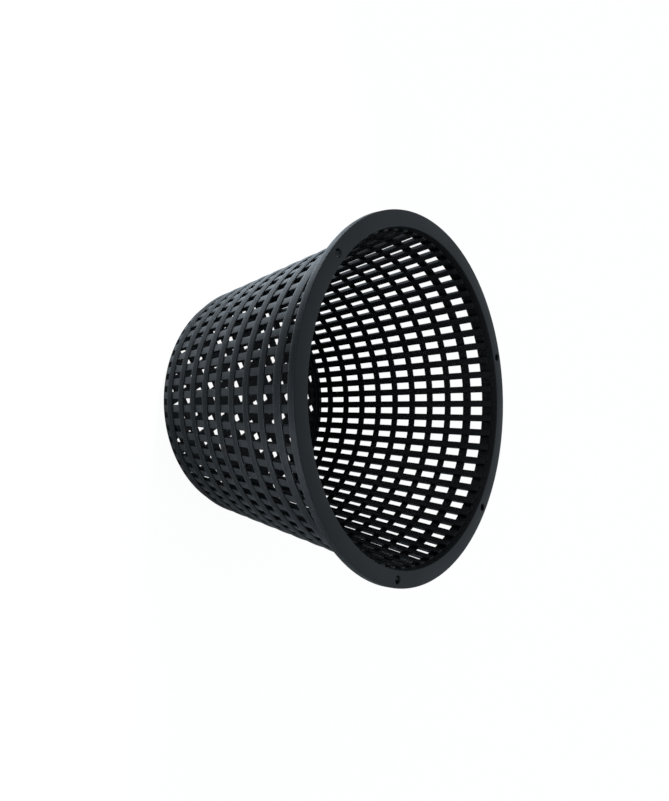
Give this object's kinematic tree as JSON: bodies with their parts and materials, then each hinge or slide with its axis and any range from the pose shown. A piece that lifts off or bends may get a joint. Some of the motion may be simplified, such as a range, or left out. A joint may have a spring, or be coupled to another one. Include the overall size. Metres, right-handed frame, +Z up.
{
  "type": "hydroponic net pot",
  "caption": "Black tapered net pot for hydroponics, with a flat hanging flange, a mesh wall of ribs inside hoops, and a barred floor.",
  "frame": {"origin": "centre of the base, on the surface the pot stands on", "axes": "+Z up through the open mouth; +X towards the single hanging hole that has another one straight across"},
  "size_m": [0.16, 0.16, 0.1062],
  "materials": {
    "moulded_plastic": "satin black moulded polypropylene"
  },
  "bodies": {
    "root": {"net_pot": "moulded_plastic"}
  },
  "joints": []
}
